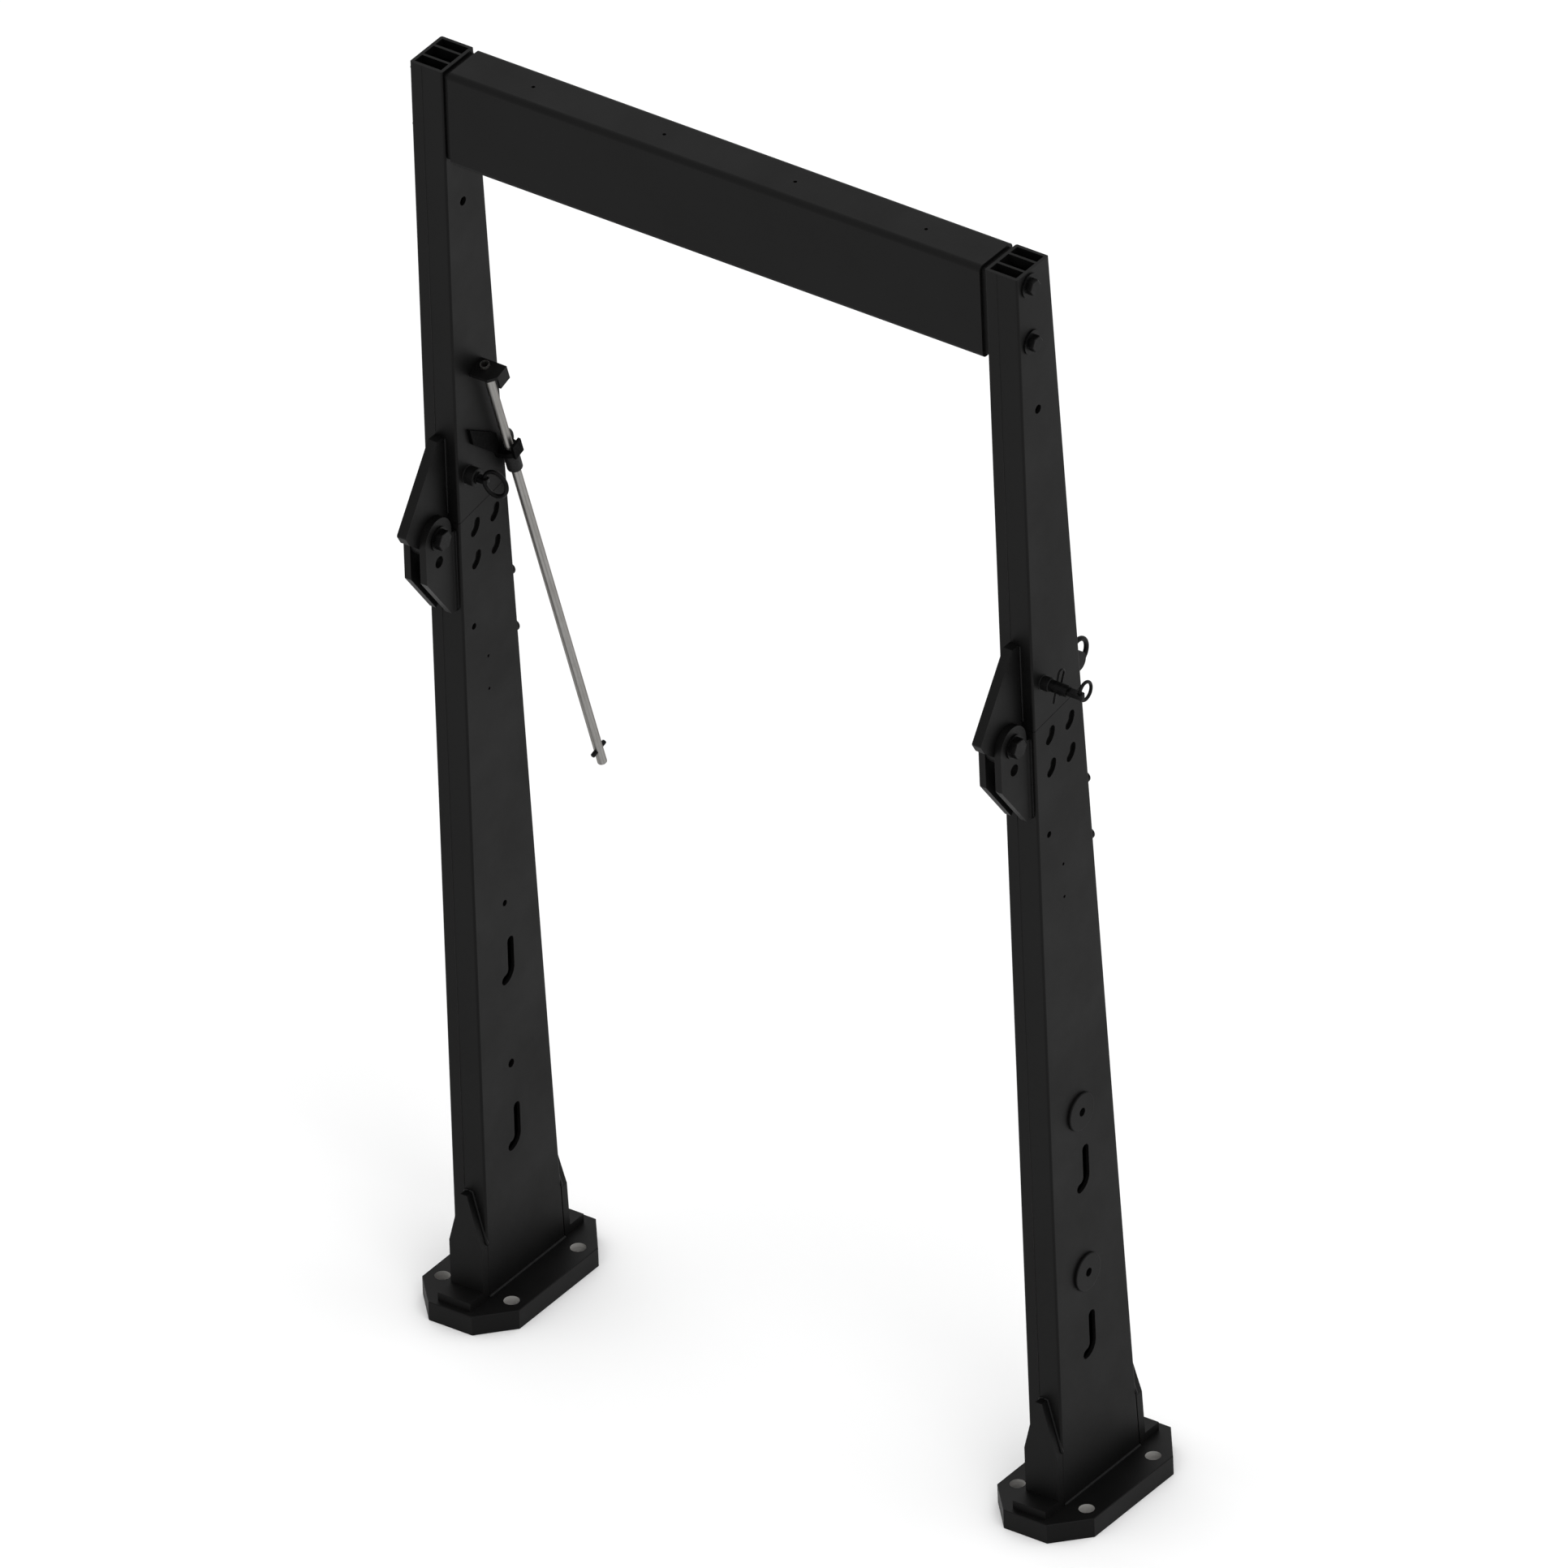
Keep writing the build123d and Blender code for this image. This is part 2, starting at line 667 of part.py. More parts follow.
def pivot_washers(x):
    """A washer under the pivot bolt's head and one under its nut."""
    outer_r = 2.1 * PIVOT_BOLT_R
    return Compound(children=[
        washer(facing(x + LUG_OUTER, PIVOT_Y, PIVOT_Z, 1), PIVOT_BOLT_R, outer_r),
        washer(facing(x - LUG_OUTER, PIVOT_Y, PIVOT_Z, -1), PIVOT_BOLT_R, outer_r),
    ])


def pivot_nut(x):
    """The pivot bolt's nut on the -X side."""
    face = x - LUG_OUTER - WASHER_THICKNESS
    return hex_nut(facing(face, PIVOT_Y, PIVOT_Z, -1), PIVOT_BOLT_R, 12.0)


# ---------------------------------------------------------------- lock pins

def lock_pin(side):
    """A round pin with a flat drilled tab at its outer end for the pull ring."""
    nose = leg_x(side) + PIN_NOSE
    barrel_end = leg_x(side) + PIN_BARREL_END[side]
    tab_length = PIN_RING_HOLE[side] + PIN_TAB_MARGIN - PIN_BARREL_END[side]
    with BuildPart() as pin:
        with BuildSketch(facing(nose, PIN_Y, PIN_Z, 1)):
            Circle(PIN_R)
        extrude(amount=barrel_end - nose)
        chamfer(pin.faces().sort_by(Axis.X)[0].edges(), 1.5)
        with Locations((barrel_end, PIN_Y, PIN_Z)):
            Box(tab_length, PIN_TAB_WIDTH, PIN_TAB_THICKNESS, align=(Align.MIN, Align.CENTER, Align.CENTER))
        corners = pin.edges().filter_by(Axis.Z).group_by(Axis.X)[-1]
        fillet(corners, 4)
        with Locations(ring_hole(side)):
            Cylinder(RING_WIRE_R[side] + 0.6, PIN_TAB_THICKNESS, mode=Mode.SUBTRACT)
        if side == "right":
            with Locations((leg_x(side) + CLIP_OFFSET_X, PIN_Y, PIN_Z)):
                Cylinder(CLIP_WIRE_R + RUNNING_CLEARANCE, 3 * PIN_R, rotation=(-CLIP_LEAN, 0, 0), mode=Mode.SUBTRACT)
    return pin.part


def ring_hole(side):
    """The centre of the hole that a pull ring hangs in."""
    return (leg_x(side) + PIN_RING_HOLE[side], PIN_Y, PIN_Z)


def pull_ring(side):
    """A round wire ring through the tab of a lock pin."""
    x, y, z = ring_hole(side)
    swing = radians(RING_SWING[side])
    with BuildPart() as ring:
        centre = (x + RING_R[side] * cos(swing), y + RING_R[side] * sin(swing), z)
        with Locations(Plane(origin=centre, x_dir=(0, 0, 1), z_dir=(sin(swing), -cos(swing), 0))):
            Torus(RING_R[side], RING_WIRE_R[side])
    return ring.part


def hairpin_clip():
    """A spring hairpin: one straight leg through the pin, a round coil above and a bowed leg beside it."""
    lean = radians(CLIP_LEAN)
    across = Plane(
        origin=(leg_x("right") + CLIP_OFFSET_X, PIN_Y, PIN_Z),
        x_dir=(0, cos(lean), -sin(lean)),
        z_dir=(1, 0, 0),
    )
    gap = CLIP_LEG_GAP
    with BuildPart() as clip:
        with BuildLine(across) as path:
            Polyline((0, -CLIP_LEG_LENGTH), (0, CLIP_RISE))
            ThreePointArc((0, CLIP_RISE), (gap / 2, CLIP_RISE + gap / 2), (gap, CLIP_RISE))
            ThreePointArc((gap, CLIP_RISE), (gap - 1.5, 0), (gap, -CLIP_LEG_LENGTH * 0.6))
        with BuildSketch(Plane(origin=path.line @ 0, z_dir=path.line % 0)):
            Circle(CLIP_WIRE_R)
        sweep(path=path.line, transition=Transition.ROUND)
    return clip.part


# ---------------------------------------------------------------- stowed rod

def rod_plane(drop):
    """A plane across the rod, a distance down from its top: its X points away from the leg."""
    lean = radians(ROD_LEAN)
    down = Vector(0, sin(lean), -cos(lean))
    top = Vector(ROD_X, ROD_TOP_Y, ROD_TOP_Z)
    return Plane(origin=top + down * drop, x_dir=(1, 0, 0), z_dir=-down)


def rod_tube():
    """The hollow rod, drilled across near its lower end."""
    with BuildPart() as tube:
        with BuildSketch(rod_plane(0)):
            Circle(ROD_R)
            Circle(ROD_R - ROD_WALL, mode=Mode.SUBTRACT)
        extrude(amount=-ROD_LENGTH)
        with Locations(rod_plane(ROD_LENGTH - CROSS_PIN_SETBACK)):
            Cylinder(CROSS_PIN_R, CROSS_PIN_LENGTH, rotation=(90, 0, 0), mode=Mode.SUBTRACT)
    return tube.part


def cross_pin():
    """The pin across the rod's lower end."""
    with BuildPart() as pin:
        with Locations(rod_plane(ROD_LENGTH - CROSS_PIN_SETBACK)):
            Cylinder(CROSS_PIN_R, CROSS_PIN_LENGTH, rotation=(90, 0, 0))
        fillet(pin.edges().filter_by(GeomType.CIRCLE), 1.2)
    return pin.part


def rod_collar():
    """The sleeve on the rod under its guide."""
    with BuildPart() as collar:
        with BuildSketch(rod_plane(COLLAR_START)):
            Circle(COLLAR_R)
            Circle(ROD_R, mode=Mode.SUBTRACT)
        extrude(amount=-COLLAR_LENGTH)
        outer = [edge for edge in collar.edges().filter_by(GeomType.CIRCLE) if edge.radius > ROD_R + 1]
        fillet(outer, 1.5)
    return collar.part


def rod_bracket():
    """The plate on the leg's inner face that holds the top of the rod, with a turned-down lip."""
    reach = ROD_X - (-LEG_SPACING / 2 + HALF_LEG)
    with BuildPart() as bracket:
        with BuildSketch(rod_plane(4)):
            with BuildLine():
                Polyline(
                    (-reach, -20),
                    (16, -20),
                    (26, -10),
                    (26, 11),
                    (-reach, 11),
                    close=True,
                )
            make_face()
            Circle(ROD_R + RUNNING_CLEARANCE, mode=Mode.SUBTRACT)
        extrude(amount=-BRACKET_THICKNESS)
        with BuildSketch(rod_plane(4)):
            with Locations((24, 0.5)):
                Rectangle(4, 21)
        extrude(amount=-22)
    return bracket.part


def rod_guide():
    """The lower holder of the rod: an arm flat on the leg, a plate the rod passes through and an ear."""
    reach = ROD_X - (-LEG_SPACING / 2 + HALF_LEG)
    with BuildPart() as guide:
        with BuildSketch(rod_plane(GUIDE_DROP)):
            with BuildLine():
                Polyline((-reach, -16), (4, -13), (4, 13), (-reach, 16), close=True)
            make_face()
            Circle(12.4)
            Circle(ROD_R + RUNNING_CLEARANCE, mode=Mode.SUBTRACT)
        extrude(amount=-GUIDE_THICKNESS)
        with BuildSketch(rod_plane(GUIDE_DROP + GUIDE_THICKNESS)):
            with Locations((13, 0)):
                Rectangle(4, 18)
        extrude(amount=GUIDE_THICKNESS + 14)
        with BuildSketch(side_plane(ROD_X - reach)):
            with BuildLine():
                Polyline(*GUIDE_ARM, close=True)
            make_face()
        extrude(amount=GUIDE_ARM_THICKNESS)
    return guide.part


# ---------------------------------------------------------------- write every piece

def write_leg(side):
    """All the pieces of one leg."""
    x = leg_x(side)
    save(base_plate(x), f"base_plate_{side}")
    save(foot(x, FRONT_Y, -1), f"front_foot_{side}")
    save(foot(x, rear_y(PLATE_THICKNESS), 1), f"rear_foot_{side}")
    save(lower_leg(x), f"lower_leg_{side}")
    save(tongue(x), f"tongue_{side}")
    save(hinge_lugs(x), f"hinge_lugs_{side}")
    save(hinge_pad(x), f"hinge_pad_{side}")
    save(side_bosses(side), f"side_bosses_{side}")
    save(rope_studs(x), f"rope_studs_{side}")
    save(pivot_bolt(x), f"pivot_bolt_{side}")
    save(pivot_washers(x), f"pivot_washers_{side}")
    save(pivot_nut(x), f"pivot_nut_{side}")
    save(upper_leg(x), f"upper_leg_{side}")
    save(top_ribs(x), f"top_ribs_{side}")
    save(hinge_gusset(x), f"hinge_gusset_{side}")
    save(guide_sleeve(side), f"guide_sleeve_{side}")
    save(rear_eye(x), f"rear_eye_{side}")
    save(end_plug(side), f"end_plug_{side}")
    save(beam_bolts(side), f"beam_bolts_{side}")
    save(beam_washers(side), f"beam_washers_{side}")
    save(beam_nuts(side), f"beam_nuts_{side}")
    save(lock_pin(side), f"lock_pin_{side}")
    save(pull_ring(side), f"pull_ring_{side}")


os.makedirs("parts", exist_ok=True)
for leg_side in SIDES:
    write_leg(leg_side)
save(crossbeam(), "crossbeam")
save(hairpin_clip(), "hairpin_clip")
save(rod_tube(), "rod_tube")
save(cross_pin(), "rod_cross_pin")
save(rod_collar(), "rod_collar")
save(rod_bracket(), "rod_bracket")
save(rod_guide(), "rod_guide")
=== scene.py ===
import json
from math import cos, pi, radians, sin

import bmesh
import bpy
from mathutils import Matrix, Vector

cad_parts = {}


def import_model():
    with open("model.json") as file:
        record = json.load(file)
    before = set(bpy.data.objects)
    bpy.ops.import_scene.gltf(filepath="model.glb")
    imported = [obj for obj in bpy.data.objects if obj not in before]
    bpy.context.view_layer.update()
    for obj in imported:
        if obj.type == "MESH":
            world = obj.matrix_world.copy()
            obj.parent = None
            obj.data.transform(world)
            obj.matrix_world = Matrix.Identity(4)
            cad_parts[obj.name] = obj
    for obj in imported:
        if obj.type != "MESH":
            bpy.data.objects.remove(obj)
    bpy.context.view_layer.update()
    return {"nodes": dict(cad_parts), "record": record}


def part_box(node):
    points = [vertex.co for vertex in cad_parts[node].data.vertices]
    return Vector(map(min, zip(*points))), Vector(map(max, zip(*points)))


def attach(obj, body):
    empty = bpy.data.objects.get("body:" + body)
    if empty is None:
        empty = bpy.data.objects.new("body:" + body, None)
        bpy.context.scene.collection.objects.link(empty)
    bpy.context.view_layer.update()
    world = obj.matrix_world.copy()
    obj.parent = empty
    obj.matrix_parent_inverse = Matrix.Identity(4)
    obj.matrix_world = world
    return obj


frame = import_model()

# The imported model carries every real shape. This script gives it its finishes, adds the small shop
# detail that the CAD leaves out (weld beads, seam lines, screw threads), and sets the studio and the camera.
# Metres, +X along the crossbeam, +Y to the rear, +Z up.

SIDES = ("left", "right")
MM = 0.001

# Finishes
COAT = (0.0010, 0.0010, 0.0010)
COAT_WORN = (0.0024, 0.0023, 0.0022)
COAT_SPECULAR = 0.115
# Anchor hole walls within this radius get painted light, a pale grey that stands in for light shining up
# through the holes
LIT_HOLE_R = 10.6 * MM
ROD_LEAN = radians(16.74)

# Legs, as the welds follow them
HALF_LEG = 25.4 * MM
REAR_SLOPE = 0.052
REAR_Y_AT_FLOOR = 86.1 * MM
SEAM_OFFSET_X = 6.8 * MM
SEAM_R = 0.55 * MM
SEAM_SINK = 0.2 * MM
LOWER_SEAM_Z = (184 * MM, 1067 * MM)
UPPER_SEAM_Z = (1328 * MM, 1882 * MM)

# Weld beads: their radii and the lines that they follow
BEAD_PITCH = 0.8 * MM
BEAD_RIPPLE = 3.2 * MM
GUSSET_WELD_X = 7.5 * MM
GUSSET_WELD_Z = (1209 * MM, 1324 * MM)
GUSSET_WELD_R = 1.7 * MM
PAD_WELD_X = 19.0 * MM
PAD_WELD_Z = (1070 * MM, 1187 * MM)
PAD_WELD_R = 1.3 * MM
BASE_WELD_R = 3.0 * MM
EYE_OFFSET_X = 17.0 * MM
EYE_WELD_X = 3.6 * MM
EYE_WELD_Z = (1234 * MM, 1260 * MM)
EYE_WELD_R = 1.7 * MM
FOOT_SHOULDER_Z = 106 * MM
FOOT_TOP_Z = 180 * MM
FOOT_TOP_HALF_WIDTH = 5.5 * MM
FOOT_WELD_R = 2.2 * MM
PIN_Y = -59.0 * MM
PIN_Z = 1262.6 * MM
SLEEVE_WELD_CIRCLE_R = {"left": 12.6 * MM, "right": 9.8 * MM}
SLEEVE_WELD_R = 1.0 * MM

# Threads on the pivot bolts' ends
THREAD_R = 7.85 * MM
THREAD_PITCH = 1.4 * MM
THREAD_RIDGE_R = 0.32 * THREAD_PITCH
THREAD_START = 0.4 * MM
STEPS_PER_TURN = 24

# Studio floor, camera and light
FLOOR_SIZE = 60.0
FLOOR_Z = -0.5 * MM
SURROUND_STRENGTH = 1.06
VIEW_RIGHT = (0.81450, 0.57925, -0.03231)
VIEW_BACK = (0.49964, -0.67208, 0.54650)
VIEW_CENTRE = (0.0136, 0.0, 0.9142)
VIEW_WIDTH = 1.9901
CAMERA_DISTANCE = 6.0

# The Mix node's colour sockets go by number, because its other sockets have the same names.
MIX_FIRST = 6
MIX_SECOND = 7
MIX_RESULT = 2


# ---------------------------------------------------------------- node helpers

def new_material(name, colour, roughness, metallic=0.0, specular=0.5):
    """A material with a Principled shader, whose constant values sit on its own sockets."""
    material = bpy.data.materials.new(name)
    material.use_nodes = True
    shader = material.node_tree.nodes["Principled BSDF"]
    shader.inputs["Base Color"].default_value = (*colour, 1.0)
    shader.inputs["Roughness"].default_value = roughness
    shader.inputs["Metallic"].default_value = metallic
    shader.inputs["Specular IOR Level"].default_value = specular
    return material, material.node_tree, shader


def add_node(tree, kind, **values):
    """A node of a kind, with its properties or its input values set by name."""
    node = tree.nodes.new(kind)
    for key, value in values.items():
        if hasattr(node, key):
            setattr(node, key, value)
        else:
            node.inputs[key.replace("_", " ")].default_value = value
    return node


def object_space(tree, stretch=(1.0, 1.0, 1.0)):
    """Object coordinates, stretched along their axes, for patterns that don't depend on UVs."""
    coordinates = add_node(tree, "ShaderNodeTexCoord")
    mapping = add_node(tree, "ShaderNodeMapping")
    mapping.inputs["Scale"].default_value = stretch
    tree.links.new(coordinates.outputs["Object"], mapping.inputs["Vector"])
    return mapping.outputs["Vector"]


def noise(tree, vector, scale, detail=3.0, roughness=0.5):
    """A noise pattern's factor."""
    node = add_node(tree, "ShaderNodeTexNoise", Scale=scale, Detail=detail, Roughness=roughness)
    tree.links.new(vector, node.inputs["Vector"])
    return node.outputs["Fac"]


def spread(tree, factor, low, high, start=0.3, stop=0.7):
    """A factor stretched from start..stop to low..high."""
    node = add_node(tree, "ShaderNodeMapRange")
    node.inputs["From Min"].default_value = start
    node.inputs["From Max"].default_value = stop
    node.inputs["To Min"].default_value = low
    node.inputs["To Max"].default_value = high
    tree.links.new(factor, node.inputs["Value"])
    return node.outputs["Result"]


def mix_colours(tree, factor, first, second):
    """Two colours, or sockets that carry them, mixed by a factor."""
    node = add_node(tree, "ShaderNodeMix", data_type="RGBA")
    tree.links.new(factor, node.inputs["Factor"])
    for socket, value in ((node.inputs[MIX_FIRST], first), (node.inputs[MIX_SECOND], second)):
        if isinstance(value, tuple):
            socket.default_value = (*value, 1.0)
        else:
            tree.links.new(value, socket)
    return node.outputs[MIX_RESULT]


def bump(tree, shader, height, strength, distance, below=None):
    """A bump on a shader, laid over another bump if one is given."""
    node = add_node(tree, "ShaderNodeBump")
    node.inputs["Strength"].default_value = strength
    node.inputs["Distance"].default_value = distance
    tree.links.new(height, node.inputs["Height"])
    if below is not None:
        tree.links.new(below, node.inputs["Normal"])
    tree.links.new(node.outputs["Normal"], shader.inputs["Normal"])
    return node.outputs["Normal"]


# ---------------------------------------------------------------- materials


def coat_patterns(tree, shader):
    """Powder coat: uneven colour in large patches, and the orange peel and grain of the cured powder."""
    space = object_space(tree)
    patches = noise(tree, space, 9.0, 4.0, 0.6)
    grain = noise(tree, space, 2600.0, 2.0, 0.6)
    peel = noise(tree, space, 520.0, 1.5, 0.45)
    tree.links.new(spread(tree, patches, 0.46, 0.58), shader.inputs["Roughness"])
    fine = bump(tree, shader, grain, 0.10, 0.00006)
    bump(tree, shader, peel, 0.16, 0.00022, below=fine)
    return mix_colours(tree, spread(tree, patches, 0.0, 1.0), COAT, COAT_WORN)


def powder_coat():
    """Matte black powder coat on steel."""
    material, tree, shader = new_material("powder_coat_black", COAT, 0.5, specular=COAT_SPECULAR)
    tree.links.new(coat_patterns(tree, shader), shader.inputs["Base Color"])
    return material


def powder_coat_with_lit_holes(centre_x, pitch_x, pitch_y, radius):
    """Powder coat on a base plate, with the walls of its four anchor holes painted light: a pale steel grey
    with drill rings, standing in for light shining up through the holes.
    """
    name = f"powder_coat_lit_holes_{centre_x:.3f}"
    material, tree, shader = new_material(name, COAT, 0.5, specular=COAT_SPECULAR)
    coat = coat_patterns(tree, shader)
    coordinates = add_node(tree, "ShaderNodeTexCoord")
    split = add_node(tree, "ShaderNodeSeparateXYZ")
    tree.links.new(coordinates.outputs["Object"], split.inputs["Vector"])

    def math(operation, first, second):
        node = add_node(tree, "ShaderNodeMath", operation=operation)
        for socket, value in zip(node.inputs, (first, second)):
            if isinstance(value, float):
                socket.default_value = value
            elif value is not None:
                tree.links.new(value, socket)
        return node.outputs["Value"]

    from_centre = math("ABSOLUTE", math("SUBTRACT", split.outputs["X"], centre_x), None)
    across = math("SUBTRACT", from_centre, pitch_x / 2)
    along = math("SUBTRACT", math("ABSOLUTE", split.outputs["Y"], None), pitch_y / 2)
    reach = math("SQRT", math("ADD", math("MULTIPLY", across, across), math("MULTIPLY", along, along)), None)
    geometry = add_node(tree, "ShaderNodeNewGeometry")
    normal = add_node(tree, "ShaderNodeSeparateXYZ")
    tree.links.new(geometry.outputs["True Normal"], normal.inputs["Vector"])
    upright = math("LESS_THAN", math("ABSOLUTE", normal.outputs["Z"], None), 0.5)
    # Painted light: the hole walls get a pale steel grey with fine drill rings, standing in for light
    # shining up through the holes
    lit_hole_mask = math("MULTIPLY", math("LESS_THAN", reach, radius), upright)
    rings = noise(tree, object_space(tree, (30.0, 30.0, 4000.0)), 1.0, 2.0)
    steel = mix_colours(tree, spread(tree, rings, 0.0, 1.0), (0.24, 0.235, 0.225), (0.40, 0.39, 0.375))
    tree.links.new(mix_colours(tree, lit_hole_mask, coat, steel), shader.inputs["Base Color"])
    return material


def black_oxide():
    """Blackened steel of the fasteners, pins and rings: smoother than the coat, with handling marks."""
    material, tree, shader = new_material("black_oxide", (0.002, 0.002, 0.002), 0.45, specular=0.09)
    space = object_space(tree)
    marks = noise(tree, space, 160.0, 5.0, 0.7)
    tree.links.new(spread(tree, marks, 0.34, 0.52), shader.inputs["Roughness"])
    rubbed = spread(tree, marks, 0.0, 1.0, 0.45, 0.75)
    tree.links.new(
        mix_colours(tree, rubbed, (0.0009, 0.0009, 0.0010), (0.0032, 0.0030, 0.0028)),
        shader.inputs["Base Color"],
    )
    bump(tree, shader, noise(tree, space, 1900.0, 2.0), 0.12, 0.00005)
    return material


def brushed_stainless(lean):
    """Brushed stainless tube: streaks run along the rod, which leans back by an angle."""
    material, tree, shader = new_material("brushed_stainless", (0.30, 0.29, 0.28), 0.34, metallic=1.0)
    shader.inputs["Specular Tint"].default_value = (0.32, 0.31, 0.30, 1.0)
    coordinates = add_node(tree, "ShaderNodeTexCoord")
    turn = add_node(tree, "ShaderNodeMapping", vector_type="POINT")
    turn.inputs["Rotation"].default_value = (-lean, 0.0, 0.0)
    tree.links.new(coordinates.outputs["Object"], turn.inputs["Vector"])
    stretch = add_node(tree, "ShaderNodeMapping")
    stretch.inputs["Scale"].default_value = (2600.0, 2600.0, 14.0)
    tree.links.new(turn.outputs["Vector"], stretch.inputs["Vector"])
    streaks = noise(tree, stretch.outputs["Vector"], 1.0, 3.0, 0.65)
    stains = noise(tree, turn.outputs["Vector"], 24.0, 4.0, 0.6)
    bright = mix_colours(tree, spread(tree, streaks, 0.0, 1.0), (0.22, 0.214, 0.205), (0.37, 0.362, 0.35))
    tree.links.new(
        mix_colours(tree, spread(tree, stains, 0.0, 0.35, 0.45, 0.75), bright, (0.19, 0.175, 0.155)),
        shader.inputs["Base Color"],
    )
    tree.links.new(spread(tree, streaks, 0.28, 0.46), shader.inputs["Roughness"])
    bump(tree, shader, streaks, 0.18, 0.00005)
    return material


def moulded_rubber(name, tone, specular):
    """Black rubber or plastic of a rod holder, in a tone given to it; the rod guide's darker tone is painted
    shade.
    """
    material, tree, shader = new_material(name, (tone, tone, tone), 0.62, specular=specular)
    space = object_space(tree)
    tree.links.new(spread(tree, noise(tree, space, 300.0, 3.0), 0.52, 0.72), shader.inputs["Roughness"])
    bump(tree, shader, noise(tree, space, 2200.0, 2.0), 0.25, 0.00008)
    return material


def weld_metal():
    """Powder coat over a weld bead: a little glossier where the powder ran thin."""
    material, tree, shader = new_material("coated_weld", (0.0012, 0.0012, 0.0012), 0.42, specular=0.13)
    space = object_space(tree)
    tree.links.new(spread(tree, noise(tree, space, 220.0, 3.0), 0.34, 0.5), shader.inputs["Roughness"])
    bump(tree, shader, noise(tree, space, 1500.0, 3.0), 0.2, 0.00012)
    return material


coat = powder_coat()
oxide = black_oxide()
stainless = brushed_stainless(ROD_LEAN)
rubber = moulded_rubber("moulded_rubber", 0.0035, 0.18)
weld = weld_metal()
finish_of = {"powder_coat": coat, "black_oxide": oxide, "stainless": stainless, "collar_rubber": rubber}


def dress(obj, material):
    """Gives every material slot of an object one material."""
    if not obj.data.materials:
        obj.data.materials.append(material)
    for slot in obj.material_slots:
        slot.material = material


for entry in frame["record"]["subparts"]:
    dress(frame["nodes"][entry["node"]], finish_of[entry["material_slot"]])

# The rod guide is black plastic, darkened to near black as painted shade for the shadow that the rod and its
# guide cast on the leg
dress(frame["nodes"]["rod_guide"], moulded_rubber("moulded_plastic_painted_shade", 0.0004, 0.035))

anchor = {mount["name"]: mount for mount in frame["record"]["mounts"]}["anchor_holes_outer"]["dims"]
# Each base plate gets its anchor hole walls painted light grey, standing in for light shining up through
# them
for side in SIDES:
    low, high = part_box(f"base_plate_{side}")
    middle = (low[0] + high[0]) / 2
    spacing = anchor["spacing_x_mm"] * MM - 2 * abs(middle)
    lit_holes_coat = powder_coat_with_lit_holes(middle, spacing, anchor["spacing_y_mm"] * MM, LIT_HOLE_R)
    dress(frame["nodes"][f"base_plate_{side}"], lit_holes_coat)


# ---------------------------------------------------------------- welds, seams and threads

LEG_X = {side: sum(corner[0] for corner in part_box(f"lower_leg_{side}")) / 2 for side in SIDES}
FRONT_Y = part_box("upper_leg_left")[0][1]
PLATE_TOP_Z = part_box("base_plate_left")[1][2]


def front_y(z):
    """The leg's front face at a height: it is upright."""
    return FRONT_Y


def rear_y(z):
    """The leg's rear face at a height: it leans forward."""
    return REAR_Y_AT_FLOOR - REAR_SLOPE * z


def tube_mesh(name, path, radii, sides=8):
    """A closed tube through points, with its own radius at each point."""
    mesh = bmesh.new()
    rings = []
    for index, point in enumerate(path):
        ahead = path[min(index + 1, len(path) - 1)]
        behind = path[max(index - 1, 0)]
        along = (ahead - behind).normalized()
        if rings:
            aside = (aside - along * aside.dot(along)).normalized()
        else:
            aside = along.orthogonal().normalized()
        third = along.cross(aside)
        ring = []
        for step in range(sides):
            turn = 2 * pi * step / sides
            ring.append(mesh.verts.new(point + radii[index] * (cos(turn) * aside + sin(turn) * third)))
        rings.append(ring)
    for first, second in zip(rings, rings[1:]):
        for step in range(sides):
            after = (step + 1) % sides
            mesh.faces.new((first[step], first[after], second[after], second[step]))
    mesh.faces.new(list(reversed(rings[0])))
    mesh.faces.new(rings[-1])
    data = bpy.data.meshes.new(name)
    mesh.to_mesh(data)
    mesh.free()
    for face in data.polygons:
        face.use_smooth = True
    piece = bpy.data.objects.new(name, data)
    bpy.context.scene.collection.objects.link(piece)
    return piece


def resampled(corners, pitch):
    """Points at an even pitch along a run of straight lines."""
    points = []
    for start, end in zip(corners, corners[1:]):
        start, end = Vector(start), Vector(end)
        count = max(1, round((end - start).length / pitch))
        points += [start.lerp(end, step / count) for step in range(count)]
    return points + [Vector(corners[-1])]


def weld_bead(name, corners, radius, body):
    """A rippled weld bead along a joint line, fixed to a body."""
    path = resampled(corners, BEAD_PITCH)
    last = len(path) - 1
    radii = []
    for index in range(len(path)):
        ripple = 1.0 + 0.08 * abs(cos(pi * index * BEAD_PITCH / BEAD_RIPPLE)) + 0.05 * sin(0.37 * index)
        taper = min(1.0, 0.35 + 0.25 * min(index, last - index))
        radii.append(radius * ripple * taper)
    bead = tube_mesh(name, path, radii)
    bead.data.materials.append(weld)
    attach(bead, body)


def circle_points(x, y, z, radius, count=48):
    """Points on a circle round an axis along X."""
    turns = [2 * pi * step / count for step in range(count + 1)]
    return [(x, y + radius * cos(turn), z + radius * sin(turn)) for turn in turns]


def thread(name, x, y, z, length, body):
    """The ridge of a screw thread round a bolt's end along X."""
    steps = int(STEPS_PER_TURN * length / THREAD_PITCH)
    path = []
    for step in range(steps + 1):
        turn = 2 * pi * step / STEPS_PER_TURN
        path.append(Vector((x + length * step / steps, y + THREAD_R * cos(turn), z + THREAD_R * sin(turn))))
    ridge = tube_mesh(name, path, [THREAD_RIDGE_R] * len(path), sides=6)
    ridge.data.materials.append(oxide)
    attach(ridge, body)


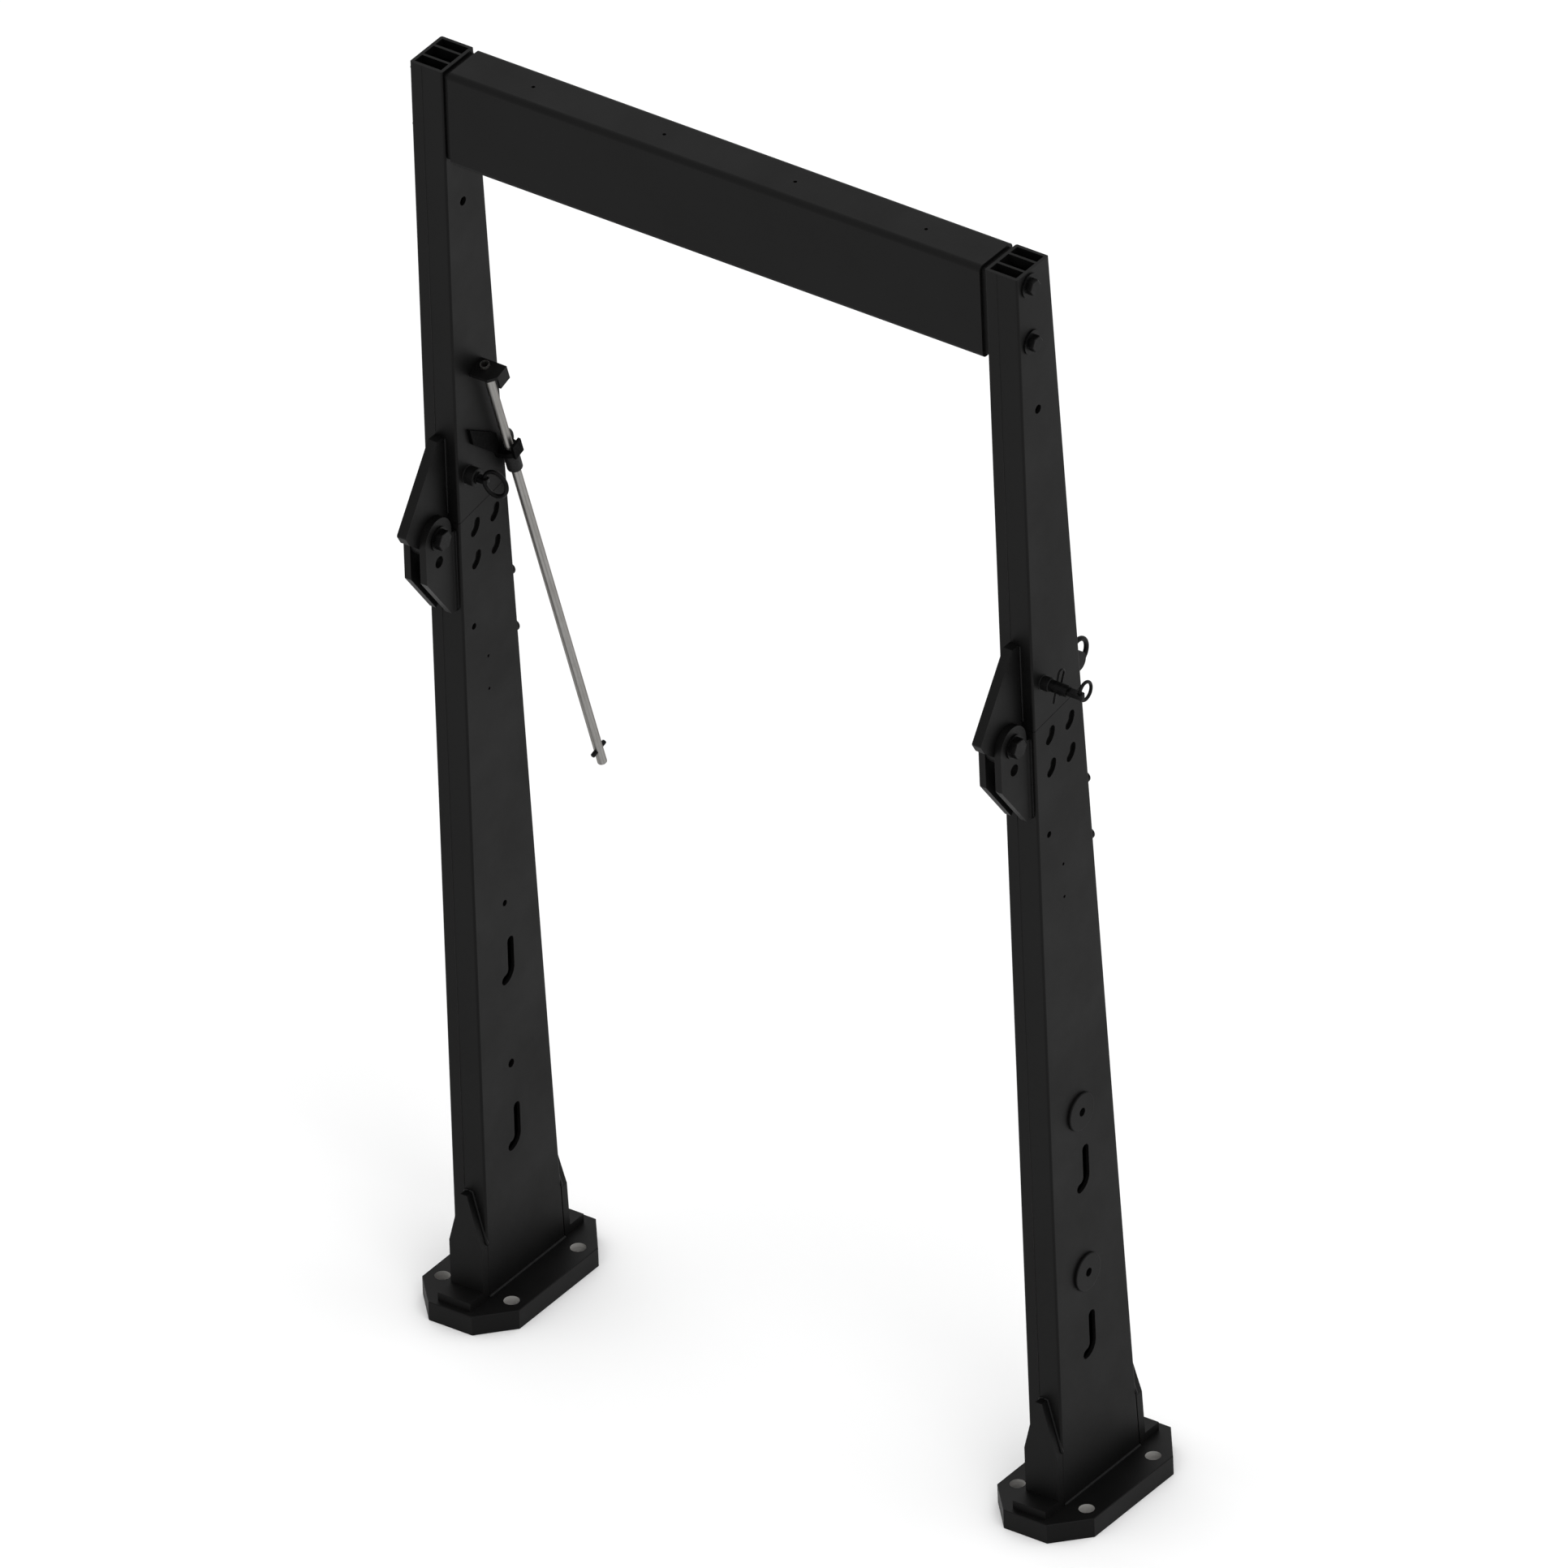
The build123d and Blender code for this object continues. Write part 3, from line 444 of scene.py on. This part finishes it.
def seam(name, x, heights, body):
    """The fine seam line down a leg's front face."""
    path = [Vector((x, FRONT_Y + SEAM_SINK, z)) for z in heights]
    line = tube_mesh(name, path, [SEAM_R, SEAM_R])
    line.data.materials.append(weld)
    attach(line, body)


def upright_bead(name, x, face, heights, radius, body):
    """A weld bead up the front or the rear face of a leg."""
    weld_bead(name, [(x, face(z), z) for z in heights], radius, body)


def foot_bead(name, x, hand, face):
    """A weld bead up one slanted edge of a foot's upright, to the middle of its top."""
    edge = x + hand * HALF_LEG
    top = FOOT_TOP_Z + MM
    corners = [
        (edge, face(FOOT_SHOULDER_Z), FOOT_SHOULDER_Z),
        (x + hand * FOOT_TOP_HALF_WIDTH, face(FOOT_TOP_Z), FOOT_TOP_Z),
        (x, face(top), top),
    ]
    weld_bead(name, corners, FOOT_WELD_R, "base_frame")


def side_welds(x, hand, tag):
    """The weld beads on one side of a leg's pieces."""
    upright_bead(
        f"weld_gusset_{tag}", x + hand * GUSSET_WELD_X, front_y, GUSSET_WELD_Z, GUSSET_WELD_R, "upper_frame"
    )
    upright_bead(f"weld_pad_{tag}", x + hand * PAD_WELD_X, front_y, PAD_WELD_Z, PAD_WELD_R, "base_frame")
    edge = x + hand * HALF_LEG
    along_base = [(edge, FRONT_Y, PLATE_TOP_Z), (edge, rear_y(PLATE_TOP_Z), PLATE_TOP_Z)]
    weld_bead(f"weld_base_{tag}", along_base, BASE_WELD_R, "base_frame")
    eye_x = x + EYE_OFFSET_X + hand * EYE_WELD_X
    upright_bead(f"weld_eye_{tag}", eye_x, rear_y, EYE_WELD_Z, EYE_WELD_R, "upper_frame")
    foot_bead(f"weld_foot_front_{tag}", x, hand, front_y)
    foot_bead(f"weld_foot_rear_{tag}", x, hand, rear_y)


def bolt_thread(side):
    """The thread on the end of a pivot bolt that stands out of its nut."""
    nut_low, nut_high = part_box(f"pivot_nut_{side}")
    end_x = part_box(f"pivot_bolt_{side}")[0][0] + THREAD_START
    middle_y = (nut_low[1] + nut_high[1]) / 2
    middle_z = (nut_low[2] + nut_high[2]) / 2
    thread(f"thread_pivot_{side}", end_x, middle_y, middle_z, nut_low[0] - end_x, "base_frame")


for side in SIDES:
    leg_x = LEG_X[side]
    side_welds(leg_x, -1, f"{side}_a")
    side_welds(leg_x, 1, f"{side}_b")
    seam(f"seam_lower_{side}", leg_x - SEAM_OFFSET_X, LOWER_SEAM_Z, "base_frame")
    seam(f"seam_upper_{side}", leg_x - SEAM_OFFSET_X, UPPER_SEAM_Z, "upper_frame")
    sleeve_joint = circle_points(leg_x + HALF_LEG, PIN_Y, PIN_Z, SLEEVE_WELD_CIRCLE_R[side])
    weld_bead(f"weld_sleeve_{side}", sleeve_joint, SLEEVE_WELD_R, "upper_frame")
    bolt_thread(side)


# ---------------------------------------------------------------- the studio

def floor():
    """A plain pale floor."""
    bpy.ops.mesh.primitive_plane_add(size=FLOOR_SIZE, location=(0.0, 0.0, FLOOR_Z))
    plane = bpy.context.object
    plane.name = "studio_floor"
    material, _, shader = new_material("studio_floor", (0.97, 0.97, 0.97), 0.9, specular=0.1)
    plane.data.materials.append(material)


def soft_light(name, place, target, size, power):
    """A large area light aimed at a point."""
    data = bpy.data.lights.new(name, "AREA")
    data.shape = "DISK"
    data.size = size
    data.energy = power
    lamp = bpy.data.objects.new(name, data)
    bpy.context.scene.collection.objects.link(lamp)
    aim = (Vector(target) - Vector(place)).to_track_quat("-Z", "Y").to_matrix().to_4x4()
    lamp.matrix_world = Matrix.Translation(place) @ aim


def world():
    """An even white surround."""
    surround = bpy.data.worlds.new("studio")
    surround.use_nodes = True
    background = surround.node_tree.nodes["Background"]
    background.inputs["Color"].default_value = (1.0, 1.0, 1.0, 1.0)
    background.inputs["Strength"].default_value = SURROUND_STRENGTH
    bpy.context.scene.world = surround


def camera():
    """A parallel camera from the front right, above and rolled a little."""
    right = Vector(VIEW_RIGHT).normalized()
    back = Vector(VIEW_BACK).normalized()
    up = back.cross(right).normalized()
    right = up.cross(back)
    data = bpy.data.cameras.new("camera")
    data.type = "ORTHO"
    data.ortho_scale = VIEW_WIDTH
    eye = bpy.data.objects.new("camera", data)
    bpy.context.scene.collection.objects.link(eye)
    turn = Matrix((right, up, back)).transposed().to_4x4()
    eye.matrix_world = Matrix.Translation(Vector(VIEW_CENTRE) + CAMERA_DISTANCE * back) @ turn
    bpy.context.scene.camera = eye


floor()
world()
camera()
soft_light("key", place=(4.0, -2.5, 4.5), target=(0.0, 0.0, 0.9), size=3.0, power=60.0)
bpy.context.scene.view_settings.view_transform = "Standard"
